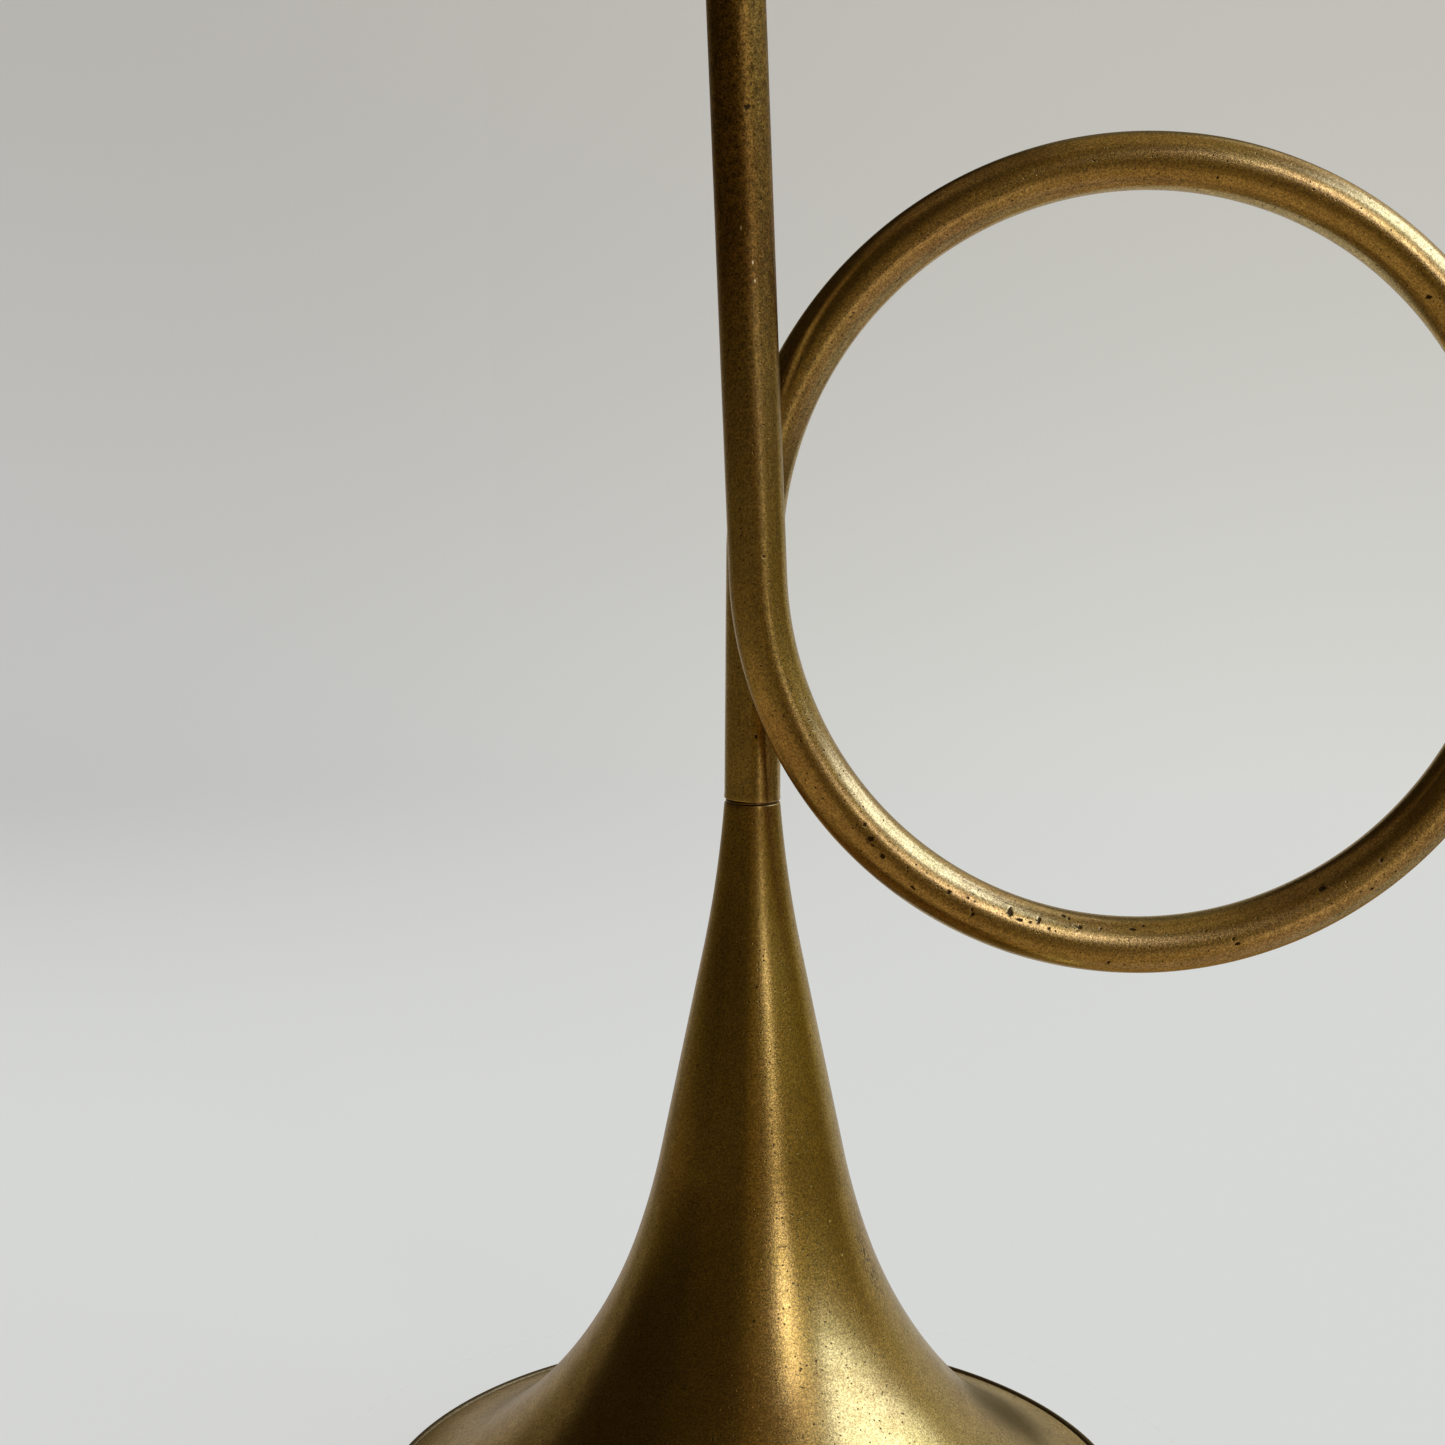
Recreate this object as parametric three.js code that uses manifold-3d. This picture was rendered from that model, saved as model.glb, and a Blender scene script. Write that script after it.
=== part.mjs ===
// A natural horn in brass that stands mouth-down on its bell. One long tube is screwed to the
// bell's neck, rises behind, makes a single loop, passes in front of itself and leans away
// upwards to a mouthpipe and mouthpiece. Millimetres, +Z up, the base plane at Z = 0.
import * as THREE from "three";
import { mergeVertices } from "three/addons/utils/BufferGeometryUtils.js";
import Module from "manifold-3d";

const GAP = 0.3; // clearance between pieces that touch on the real horn

// Body tube
const TUBE_R = 10;
const TUBE_WALL = 1.2;
const TUBE_SIDES = 20;
const BORE_SIDES = 12;
const TUBE_STEPS = 84;

// Bell: a spun sheet whose outside runs, from the neck down, as an arc, a straight cone and
// three arcs that open wider and wider. Angles are the wall's slope from the vertical.
const BELL_WALL = 1.2;
const BELL_HEIGHT = 260.4;
const NECK_R = 9.9;
const NECK_SLOPE = radians(4.5);
const NECK_ARC = 420;
const CONE_SLOPE = radians(11.8);
const CONE_LENGTH = 76;
const THROAT_ARC = 258;
const THROAT_SLOPE = radians(19.5);
const FLARE_ARC = 176;
const FLARE_SLOPE = radians(55.7);
const SHEET_EDGE_R = 134.4;
const SHEET_EDGE_Z = 2.6;
const BELL_SIDES = 48;

// Rim wire: a round wire soldered to the sheet's edge, rubbed flat where the horn stands on it
const RIM_WIRE_R = 1.6;
const RIM_FLAT_HALF = 0.8;
const RIM_R = SHEET_EDGE_R + GAP + 2 * RIM_WIRE_R;

// Screwed joint between the bell's neck and the tube
const SEAM = 1.2;
const WASHER_T = 0.6;
const WASHER_R = 9.4;
const SOCKET_DEPTH = 12;
const THREAD_R = 5.7;
const THREAD_ENGAGED = 6;
const NIPPLE_BORE_R = 4.2;
const STEM_BUSH_LENGTH = 12;

// Course of the tube, measured from the middle of the seam on the bell's axis
const LOOP_X = 135.5;
const LOOP_Z = 85.8;
const LOOP_R = 134.7;
const RUN_OFFSET = 22; // the front run stands this far in front of the stem
const TOP_LEAN = radians(2.2);
const TOP_RUN = 206;

// Brace in the space between the two runs where they cross
const BRACE_WIDTH = 12;
const BRACE_HEIGHT = 10;

// Mouthpipe group, measured along the tube's axis from its upper end
const FERRULE_R = 11.6;
const FERRULE_LENGTH = 24;
const FERRULE_BEAD = 0.7;
const MOUTHPIPE_LENGTH = 70;
const MOUTHPIPE_WALL = 1;
const MOUTHPIPE_STRAIGHT = 14;
const MOUTHPIPE_TIP_R = 5.4;
const RECEIVER_START = 56;
const RECEIVER_LENGTH = 36;
const RECEIVER_R = 6.9;
const RECEIVER_BORE_R = 4.4;
const MOUTHPIECE_START = 71;
const MOUTHPIECE_RIM_R = 12.8;
const CUP_R = 8.7;
const CUP_DEPTH = 26;
const THROAT_BORE_R = 2.3;
const SMALL_SIDES = 24;

// Where the pieces stand
const SEAM_Z = BELL_HEIGHT + SEAM / 2;
const STEM_Z = BELL_HEIGHT + SEAM;
const BELL_X = (RIM_R - LOOP_X - LOOP_R - TUBE_R) / 2; // centres the whole horn on X = 0

function radians(degrees) {
  return THREE.MathUtils.degToRad(degrees);
}

function brass(color, roughness) {
  return new THREE.MeshStandardMaterial({ color, roughness, metalness: 1 });
}

const agedBrass = brass(0x8a6a34, 0.42);
const wornBrass = brass(0xb08a48, 0.35);
const darkBrass = brass(0x5a4320, 0.55);

// --- Shapes ---------------------------------------------------------------------------------

// A solid turned about +Z from a closed outline of [radius, height] points.
function turned(outline, sides = SMALL_SIDES) {
  const points = [...outline, outline[0]].map(([r, z]) => new THREE.Vector2(r, z));
  return new THREE.LatheGeometry(points, sides).rotateX(Math.PI / 2);
}

// A sleeve between two radii.
function sleeve(outerR, boreR, z0, z1) {
  return turned([[boreR, z0], [outerR, z0], [outerR, z1], [boreR, z1]]);
}

// Points along an arc that goes outwards and down from `start` while its slope opens.
function flareArc(start, slope0, slope1, radius, steps) {
  const points = [];
  for (let i = 1; i <= steps; i += 1) {
    const slope = THREE.MathUtils.lerp(slope0, slope1, i / steps);
    points.push({
      r: start.r + radius * (Math.cos(slope0) - Math.cos(slope)),
      z: start.z - radius * (Math.sin(slope) - Math.sin(slope0)),
      slope,
    });
  }
  return points;
}

// The arc that leaves `start` at its slope and ends on a given point.
function flareArcTo(start, end, steps) {
  const chordSlope = Math.atan2(end.r - start.r, start.z - end.z);
  const slope1 = 2 * chordSlope - start.slope;
  const chord = Math.hypot(end.r - start.r, start.z - end.z);
  const radius = chord / (2 * Math.sin((slope1 - start.slope) / 2));
  return flareArc(start, start.slope, slope1, radius, steps);
}

// The bell's outside line from the neck down to the edge of the sheet.
function bellLine() {
  const line = [{ r: NECK_R, z: BELL_HEIGHT, slope: NECK_SLOPE }];
  const last = () => line[line.length - 1];
  line.push(...flareArc(last(), NECK_SLOPE, CONE_SLOPE, NECK_ARC, 3));
  line.push({
    r: last().r + CONE_LENGTH * Math.sin(CONE_SLOPE),
    z: last().z - CONE_LENGTH * Math.cos(CONE_SLOPE),
    slope: CONE_SLOPE,
  });
  line.push(...flareArc(last(), CONE_SLOPE, THROAT_SLOPE, THROAT_ARC, 2));
  line.push(...flareArc(last(), THROAT_SLOPE, FLARE_SLOPE, FLARE_ARC, 8));
  line.push(...flareArcTo(last(), { r: SHEET_EDGE_R, z: SHEET_EDGE_Z }, 4));
  return line;
}

// The same line moved inwards, square to the wall.
function inset(line, depth) {
  return line.map(({ r, z, slope }) => [r - depth * Math.cos(slope), z - depth * Math.sin(slope)]);
}

// Course of the body tube: straight stem, one loop that shifts forwards, straight upper run.
class HornPath extends THREE.Curve {
  constructor() {
    super();
    const toCentre = Math.hypot(LOOP_X, LOOP_Z);
    this.stemLean = Math.atan2(LOOP_X, LOOP_Z) - Math.asin(LOOP_R / toCentre);
    this.sweep = 2 * Math.PI - TOP_LEAN - this.stemLean;
    this.stemLength = Math.sqrt(toCentre ** 2 - LOOP_R ** 2);
    this.loopLength = this.sweep * LOOP_R;
    this.start = SEAM / 2;
    this.end = this.stemLength + this.loopLength + TOP_RUN;
  }

  getPoint(t, target = new THREE.Vector3()) {
    const along = THREE.MathUtils.lerp(this.start, this.end, t);
    if (along < this.stemLength) {
      return target.set(along * Math.sin(this.stemLean), 0, along * Math.cos(this.stemLean));
    }
    const turn = Math.min((along - this.stemLength) / this.loopLength, 1);
    const angle = this.stemLean + turn * this.sweep;
    const forwards = turn - Math.sin(2 * Math.PI * turn) / (2 * Math.PI);
    const beyond = Math.max(0, along - this.stemLength - this.loopLength);
    return target.set(
      LOOP_X - LOOP_R * Math.cos(angle) - beyond * Math.sin(TOP_LEAN),
      -RUN_OFFSET * forwards,
      LOOP_Z + LOOP_R * Math.sin(angle) + beyond * Math.cos(TOP_LEAN),
    );
  }
}

const hornPath = new HornPath();

// A round bar or tube along the horn's path.
function alongPath(outerR, boreR = 0) {
  const section = circle(new THREE.Shape(), outerR, TUBE_SIDES);
  if (boreR) section.holes.push(circle(new THREE.Path(), boreR, BORE_SIDES));
  return new THREE.ExtrudeGeometry(section, { steps: TUBE_STEPS, extrudePath: hornPath });
}

function circle(path, radius, sides) {
  const points = Array.from({ length: sides }, (_, i) => {
    const angle = (2 * Math.PI * i) / sides;
    return new THREE.Vector2(radius * Math.cos(angle), radius * Math.sin(angle));
  });
  return path.setFromPoints(points);
}

// --- Booleans -------------------------------------------------------------------------------

const wasm = await Module();
wasm.setup();

function toSolid(geometry) {
  const bare = geometry.clone().deleteAttribute("normal").deleteAttribute("uv");
  const merged = mergeVertices(bare, 1e-4);
  return new wasm.Manifold(
    new wasm.Mesh({
      numProp: 3,
      vertProperties: merged.attributes.position.array,
      triVerts: new Uint32Array(merged.index.array),
    }),
  );
}

function toGeometry(solid) {
  const mesh = solid.getMesh();
  const geometry = new THREE.BufferGeometry();
  geometry.setAttribute("position", new THREE.BufferAttribute(mesh.vertProperties, 3));
  geometry.setIndex(new THREE.BufferAttribute(mesh.triVerts, 1));
  geometry.computeVertexNormals();
  return geometry;
}

// --- Bell -----------------------------------------------------------------------------------

const outside = bellLine();

function bell() {
  const outer = outside.map(({ r, z }) => [r, z]);
  const inner = inset(outside, BELL_WALL).reverse();
  inner[inner.length - 1][1] = BELL_HEIGHT; // the neck is cut off square
  return turned([...outer, ...inner].reverse(), BELL_SIDES);
}

function bellRimWire() {
  const centreR = RIM_R - RIM_WIRE_R;
  const flat = Math.asin(RIM_FLAT_HALF / RIM_WIRE_R);
  const drop = RIM_WIRE_R * Math.cos(flat);
  const points = Array.from({ length: 10 }, (_, i) => {
    const angle = THREE.MathUtils.lerp(flat, 2 * Math.PI - flat, i / 9) - Math.PI / 2;
    return [centreR + RIM_WIRE_R * Math.cos(angle), drop + RIM_WIRE_R * Math.sin(angle)];
  });
  return turned(points, BELL_SIDES);
}

// Threaded socket inside the neck; its outside follows the neck's taper.
function neckSocket() {
  const fit = inset(outside.slice(0, 2), BELL_WALL + GAP);
  const slope = (fit[1][0] - fit[0][0]) / (fit[0][1] - fit[1][1]);
  const top = BELL_HEIGHT;
  const foot = BELL_HEIGHT - SOCKET_DEPTH;
  const boreR = THREAD_R + GAP;
  return turned([
    [boreR, foot],
    [fit[0][0] + slope * (fit[0][1] - foot), foot],
    [fit[0][0], top],
    [boreR, top],
  ]);
}

// --- Joint and tube -------------------------------------------------------------------------

function neckWasher() {
  const z0 = BELL_HEIGHT + (SEAM - WASHER_T) / 2;
  return sleeve(WASHER_R, THREAD_R + GAP, z0, z0 + WASHER_T);
}

function jointNipple() {
  const foot = BELL_HEIGHT - THREAD_ENGAGED;
  const top = STEM_Z + STEM_BUSH_LENGTH - 1;
  const chamfer = 0.8;
  return turned([
    [NIPPLE_BORE_R, foot],
    [THREAD_R - chamfer, foot],
    [THREAD_R, foot + chamfer],
    [THREAD_R, top],
    [NIPPLE_BORE_R, top],
  ]);
}

function stemBush() {
  const outerR = TUBE_R - TUBE_WALL - 2 * GAP;
  return sleeve(outerR, THREAD_R + GAP, STEM_Z + GAP, STEM_Z + STEM_BUSH_LENGTH);
}

// Saddle block hollowed on both sides by the two runs of the tube.
function crossingBrace() {
  const height = hornPath.stemLength;
  const block = new THREE.BoxGeometry(BRACE_WIDTH, RUN_OFFSET, BRACE_HEIGHT);
  const x = height * Math.sin(hornPath.stemLean);
  block.translate(x, -RUN_OFFSET / 2, height * Math.cos(hornPath.stemLean));
  return toGeometry(toSolid(block).subtract(toSolid(alongPath(TUBE_R + GAP))));
}

// --- Mouthpipe group ------------------------------------------------------------------------

function mouthpipeFerrule() {
  const half = FERRULE_LENGTH / 2;
  const boreR = TUBE_R + GAP;
  const beadR = FERRULE_R + FERRULE_BEAD;
  const bead = 2 * FERRULE_BEAD;
  return turned([
    [boreR, -half],
    [beadR, -half],
    [beadR, -half + bead],
    [FERRULE_R, -half + 2 * bead],
    [FERRULE_R, half - 2 * bead],
    [beadR, half - bead],
    [beadR, half],
    [boreR, half],
  ]);
}

function mouthpipe() {
  const taperEnd = MOUTHPIPE_LENGTH - MOUTHPIPE_STRAIGHT;
  const outer = [
    [TUBE_R, GAP],
    [TUBE_R, MOUTHPIPE_STRAIGHT],
    [MOUTHPIPE_TIP_R, taperEnd],
    [MOUTHPIPE_TIP_R, MOUTHPIPE_LENGTH],
  ];
  const inner = outer.map(([r, z]) => [r - MOUTHPIPE_WALL, z]).reverse();
  return turned([...outer, ...inner]);
}

function mouthpieceReceiver() {
  const end = RECEIVER_START + RECEIVER_LENGTH;
  const pocketR = MOUTHPIPE_TIP_R + GAP;
  const ring = 4;
  return turned([
    [pocketR, RECEIVER_START],
    [RECEIVER_R - 0.6, RECEIVER_START],
    [RECEIVER_R, RECEIVER_START + 2],
    [RECEIVER_R, end - ring - 1],
    [RECEIVER_R + 1, end - ring],
    [RECEIVER_R + 1, end],
    [RECEIVER_BORE_R, end],
    [RECEIVER_BORE_R, MOUTHPIPE_LENGTH + GAP],
    [pocketR, MOUTHPIPE_LENGTH + GAP],
  ]);
}

// Cup, throat and tapered shank bored right through.
function mouthpiece() {
  const z = MOUTHPIECE_START;
  const seat = RECEIVER_START + RECEIVER_LENGTH;
  const top = seat + 44;
  return turned([
    [RECEIVER_BORE_R - GAP - 0.8, z],
    [RECEIVER_BORE_R - GAP, seat],
    [5.2, seat + 8],
    [7.2, seat + 16],
    [10.6, seat + 26],
    [11.4, seat + 38],
    [MOUTHPIECE_RIM_R, seat + 40],
    [MOUTHPIECE_RIM_R, seat + 42.5],
    [MOUTHPIECE_RIM_R - 1.4, top],
    [CUP_R + 1.2, top],
    [CUP_R, top - 1.5],
    [CUP_R - 0.9, top - 9],
    [CUP_R - 3.4, top - 18],
    [THROAT_BORE_R, top - CUP_DEPTH],
    [THROAT_BORE_R + 0.3, z],
  ]);
}

// --- Assembly -------------------------------------------------------------------------------

function add(parent, name, geometry, material) {
  const mesh = new THREE.Mesh(geometry, material);
  mesh.name = name;
  parent.add(mesh);
}

const bellGroup = new THREE.Group();
add(bellGroup, "bell", bell(), agedBrass);
add(bellGroup, "bell_rim_wire", bellRimWire(), wornBrass);
add(bellGroup, "neck_socket", neckSocket(), darkBrass);
add(bellGroup, "neck_washer", neckWasher(), darkBrass);
add(bellGroup, "joint_nipple", jointNipple(), darkBrass);
add(bellGroup, "stem_bush", stemBush(), darkBrass);

const coilGroup = new THREE.Group();
coilGroup.position.z = SEAM_Z;
add(coilGroup, "coil_tube", alongPath(TUBE_R, TUBE_R - TUBE_WALL), agedBrass);
add(coilGroup, "crossing_brace", crossingBrace(), darkBrass);

const mouthGroup = new THREE.Group();
mouthGroup.position.copy(hornPath.getPoint(1));
mouthGroup.rotation.y = -TOP_LEAN;
add(mouthGroup, "mouthpipe_ferrule", mouthpipeFerrule(), wornBrass);
add(mouthGroup, "mouthpipe", mouthpipe(), agedBrass);
add(mouthGroup, "mouthpiece_receiver", mouthpieceReceiver(), wornBrass);
add(mouthGroup, "mouthpiece", mouthpiece(), wornBrass);
coilGroup.add(mouthGroup);

const horn = new THREE.Group();
horn.position.x = BELL_X;
horn.add(bellGroup, coilGroup);

export default horn;
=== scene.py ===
"""A natural horn in aged brass that stands on its bell. Metres, +Z up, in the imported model's frame."""

import math

import bmesh
import bpy
from mathutils import Matrix, Vector, noise


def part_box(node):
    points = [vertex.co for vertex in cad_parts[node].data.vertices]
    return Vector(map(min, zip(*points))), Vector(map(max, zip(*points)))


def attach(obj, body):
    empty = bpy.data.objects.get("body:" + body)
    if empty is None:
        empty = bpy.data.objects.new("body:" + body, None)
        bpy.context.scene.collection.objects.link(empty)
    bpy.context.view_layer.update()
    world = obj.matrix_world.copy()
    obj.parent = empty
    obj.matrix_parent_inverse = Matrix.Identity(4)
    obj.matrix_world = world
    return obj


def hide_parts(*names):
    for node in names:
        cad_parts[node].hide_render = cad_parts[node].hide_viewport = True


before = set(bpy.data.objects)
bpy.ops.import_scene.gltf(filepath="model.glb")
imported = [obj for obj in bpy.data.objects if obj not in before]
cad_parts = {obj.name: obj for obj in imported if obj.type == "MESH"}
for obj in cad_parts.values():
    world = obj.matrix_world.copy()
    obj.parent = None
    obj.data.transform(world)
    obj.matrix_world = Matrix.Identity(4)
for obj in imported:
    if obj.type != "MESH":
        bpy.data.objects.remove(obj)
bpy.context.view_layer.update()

MM = 0.001
FULL_TURN = 2 * math.pi

# --- Where things are, from the frame -------------------------------------------------------

bell_low, bell_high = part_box("bell")
rim_low, rim_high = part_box("bell_rim_wire")
washer_low, washer_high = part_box("neck_washer")
brace_low, brace_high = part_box("crossing_brace")
AXIS_X = (bell_low[0] + bell_high[0]) / 2
NECK_Z = bell_high[2]
SEAM_Z = (washer_low[2] + washer_high[2]) / 2
STEM_Z = 2 * SEAM_Z - NECK_Z
RIM_R = (rim_high[0] - rim_low[0]) / 2
WASHER_R = (washer_high[0] - washer_low[0]) / 2
BRACE_X = (brace_low[0] + brace_high[0]) / 2
BRACE_Z = (brace_low[2] + brace_high[2]) / 2

# --- Driving sizes --------------------------------------------------------------------------

GAP = 0.3 * MM

TUBE_R = 10 * MM
TUBE_WALL = 1.2 * MM
# Centre of the loop, from the middle of the seam, and its radius
LOOP_X = 135.5 * MM
LOOP_Z = 85.8 * MM
LOOP_R = 134.7 * MM
# How far the upper run passes in front of the stem, its lean to the left and its length
RUN_OFFSET = 22 * MM
TOP_LEAN = math.radians(2.2)
TOP_RUN = 206 * MM

# The bell's outline from the neck down: an arc, a straight cone, two arcs that each end at a
# slope from the axis, and a last arc to the edge of the sheet
BELL_WALL = 1.2 * MM
NECK_R = 9.9 * MM
NECK_SLOPE = math.radians(4.5)
NECK_ARC = 420 * MM
CONE_SLOPE = math.radians(11.8)
CONE_LENGTH = 76 * MM
THROAT_ARC = 258 * MM
THROAT_SLOPE = math.radians(19.5)
FLARE_ARC = 176 * MM
FLARE_SLOPE = math.radians(55.7)
SHEET_EDGE_R = 134.4 * MM
SHEET_EDGE_Z = 2.6 * MM
RIM_WIRE_R = 1.6 * MM
RIM_FLAT_HALF = 0.8 * MM

# The screwed joint and its seam. The tube's lower edge is lowered by SEAM_CLOSE at the right, and
# rises from there by SEAM_WEDGE towards the left
SOCKET_DEPTH = 12 * MM
THREAD_R = 5.7 * MM
THREAD_DEPTH = 0.7 * MM
THREAD_PITCH = 1.5 * MM
THREAD_ENGAGED = 6 * MM
NIPPLE_BORE_R = 4.2 * MM
STEM_BUSH_LENGTH = 12 * MM
SEAM_WEDGE = 0.5 * MM
SEAM_CLOSE = 0.2 * MM
LIP = 0.35 * MM

BRACE_WIDTH = 12 * MM
BRACE_HEIGHT = 10 * MM

# --- Camera ---------------------------------------------------------------------------------

# Place in metres, and how far it is turned to the right, tilted down and rolled
CAMERA_PLACE = Vector((AXIS_X - 0.0363, -0.7663, SEAM_Z + 0.1298))
CAMERA_TURN = math.radians(1.93)
CAMERA_TILT = math.radians(7.59)
CAMERA_ROLL = math.radians(-0.11)
SENSOR = 36
FOCAL_IN_IMAGE_WIDTHS = 1.5225


def make_camera():
    data = bpy.data.cameras.new("camera")
    data.sensor_width = SENSOR
    data.lens = SENSOR * FOCAL_IN_IMAGE_WIDTHS
    data.clip_start = 0.01
    data.clip_end = 20
    camera = bpy.data.objects.new("camera", data)
    turn = Matrix.Rotation(-CAMERA_TURN, 4, "Z")
    tilt = Matrix.Rotation(math.pi / 2 - CAMERA_TILT, 4, "X")
    roll = Matrix.Rotation(CAMERA_ROLL, 4, "Z")
    camera.matrix_world = Matrix.Translation(CAMERA_PLACE) @ turn @ tilt @ roll
    bpy.context.collection.objects.link(camera)
    bpy.context.scene.camera = camera


# --- Node helper ----------------------------------------------------------------------------


class Tree:
    """Short calls for building a node tree."""

    def __init__(self, nodes_owner):
        nodes_owner.use_nodes = True
        self.tree = nodes_owner.node_tree
        self.tree.nodes.clear()

    def add(self, kind, inputs=None, out=0, **settings):
        node = self.tree.nodes.new(kind)
        for key, value in settings.items():
            setattr(node, key, value)
        for key, value in (inputs or {}).items():
            if isinstance(value, bpy.types.NodeSocket):
                self.tree.links.new(value, node.inputs[key])
            else:
                node.inputs[key].default_value = value
        return node.outputs[out]

    def math(self, operation, a, b=0.0):
        return self.add("ShaderNodeMath", {0: a, 1: b}, operation=operation)

    def scaled(self, vector, factors):
        return self.add("ShaderNodeVectorMath", {0: vector, 1: factors}, operation="MULTIPLY")

    def noise(self, vector, scale, detail, roughness):
        values = {"Vector": vector, "Scale": scale, "Detail": detail, "Roughness": roughness}
        return self.add("ShaderNodeTexNoise", values, noise_dimensions="3D")

    def steps(self, value, low, high, to_low=0.0, to_high=1.0):
        """A smooth step from `to_low` to `to_high` as the value goes from `low` to `high`."""
        ends = {"From Min": low, "From Max": high, "To Min": to_low, "To Max": to_high}
        return self.add("ShaderNodeMapRange", {"Value": value, **ends}, interpolation_type="SMOOTHSTEP")

    def mix(self, share, a, b):
        """Colour `a` where the share is 0 and colour `b` where it is 1."""
        return self.add("ShaderNodeMix", {0: share, 6: a, 7: b}, out=2, data_type="RGBA")

    def tinted(self, color, amount):
        """The colour times a grey value."""
        return self.add("ShaderNodeVectorMath", {0: color, "Scale": amount}, operation="SCALE")

    def finish(self, shader, kind="ShaderNodeOutputMaterial"):
        output = self.tree.nodes.new(kind)
        self.tree.links.new(shader, output.inputs["Surface"])


# --- Light ----------------------------------------------------------------------------------

# The room round the horn, as soft patches of light. Azimuth 0 is towards -Y and 90 towards +X,
# in degrees from the horn. A later patch lies over an earlier one.
ROOM_COLOR = (0.030, 0.020, 0.007)
PATCHES = (
    # Azimuths, elevations, colour
    ((0, 180), (50, 95), (0.36, 0.27, 0.115)),       # ceiling on the lit side
    ((-180, 0), (54, 95), (0.15, 0.105, 0.048)),     # ceiling on the dark side
    ((-62, -8), (-22, 58), (0.050, 0.033, 0.009)),   # room to the left of the camera
    ((-200, -8), (-22, -1), (0.17, 0.125, 0.045)),   # low wall on the dark side
    ((-200, -125), (-22, 18), (0.21, 0.18, 0.12)),   # wall behind on the dark side
    ((-200, -148), (-24, 8), (0.50, 0.475, 0.45)),   # paper behind on the dark side
    ((-8, 20), (-8, 60), (0.17, 0.11, 0.02)),        # wall ahead
    ((34, 116), (-12, 7), (0.20, 0.148, 0.018)),     # low wall on the lit side
    ((34, 116), (7, 22), (0.38, 0.30, 0.06)),        # just below the wide window
    ((50, 128), (-15, -8), (0.06, 0.042, 0.012)),    # dark foot of the same wall
    ((112, 126), (-8, 20), (0.50, 0.45, 0.24)),      # wall behind on the right
    ((124, 150), (-14, 20), (0.60, 0.60, 0.58)),     # paper behind on the right
    ((112, 150), (20, 58), (0.88, 0.81, 0.66)),      # the same wall, higher
    ((148, 182), (20, 60), (0.20, 0.18, 0.12)),      # the same wall, further back
    ((22, 33), (-8, 9), (0.55, 0.45, 0.18)),         # foot of the narrow window
    ((28, 46), (20, 46), (1.2, 1.1, 0.8)),           # its curtain
    ((24, 31), (9, 35), (6.0, 5.5, 5.5)),            # its pane
    ((54, 114), (22, 50), (3.05, 3.65, 4.8)),        # wide window
    ((-200, 200), (-95, -20), (0.42, 0.295, 0.125)), # floor
    ((-200, -60), (-95, -48), (0.25, 0.175, 0.06)),  # floor on the dark side
    ((-200, -104), (-86, -34), (0.12, 0.08, 0.026)), # the same floor, further back
    ((-8, 20), (-37, -12), (0.19, 0.125, 0.035)),    # shadow on the floor ahead
    ((40, 130), (-95, -16), (0.46, 0.35, 0.24)),     # floor in front of the wide window
    ((74, 130), (-57, -20), (0.47, 0.45, 0.41)),     # paper on it
    ((22, 38), (-34, -8), (0.8, 0.62, 0.38)),        # floor in front of the narrow window
)
# Half width of a patch's soft edge, in degrees
PATCH_EDGE = 3.5
# Strength of the sky, by which the colours are divided
SKY_GAIN = 5


def soft_band(tree, value, low, high):
    """1 between two angles, with soft edges."""
    rise = tree.steps(value, low - PATCH_EDGE, low + PATCH_EDGE)
    fall = tree.steps(value, high - PATCH_EDGE, high + PATCH_EDGE, 1.0, 0.0)
    return tree.math("MULTIPLY", rise, fall)


def make_world():
    world = bpy.data.worlds.new("room")
    bpy.context.scene.world = world
    t = Tree(world)
    x, y, z = t.add("ShaderNodeSeparateXYZ", {0: t.add("ShaderNodeTexCoord")}).node.outputs
    backwards = t.math("MULTIPLY", y, -1.0)
    azimuth = t.math("MULTIPLY", t.math("ARCTAN2", x, backwards), 180 / math.pi)
    elevation = t.math("MULTIPLY", t.math("ARCSINE", z), 180 / math.pi)

    def dimmed(color):
        return (*(c / SKY_GAIN for c in color), 1)

    color = dimmed(ROOM_COLOR)
    for azimuths, elevations, patch_color in PATCHES:
        across = soft_band(t, azimuth, *azimuths)
        upwards = soft_band(t, elevation, *elevations)
        color = t.mix(t.math("MULTIPLY", across, upwards), color, dimmed(patch_color))
    sky = t.add("ShaderNodeBackground", {"Color": color, "Strength": SKY_GAIN})
    t.finish(sky, "ShaderNodeOutputWorld")


# --- Stage ----------------------------------------------------------------------------------

# Radii from the horn's axis, heights, and the azimuths of the wall that the horn reflects
BELOW_HORN_R = 0.12
NEAR_FLOOR_R = 0.17
MIDDLE_FLOOR_R = 0.8
FLOOR_R = 1.7
WALL_R = 2.6
WALL_TOP = 3.2
REFLECTED_WALL_TOP = 1.3
BACK_RIGHT = math.radians(140)
BACK_LEFT = math.radians(186)
# Facets up the bend between floor and wall, all round, and round the back alone
BEND_STEPS = 12
ROUND_SIDES = 96
BACK_SIDES = 24


def stage_profile(top):
    """Radius and height of the stage from near the horn outwards: floor, curve and wall."""
    bend = WALL_R - FLOOR_R
    points = [(NEAR_FLOOR_R, 0.0), (MIDDLE_FLOOR_R, 0.0)]
    for i in range(BEND_STEPS + 1):
        angle = i / BEND_STEPS * math.pi / 2
        points.append((FLOOR_R + bend * math.sin(angle), bend * (1 - math.cos(angle))))
    points.append((WALL_R, top))
    return points


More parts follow.
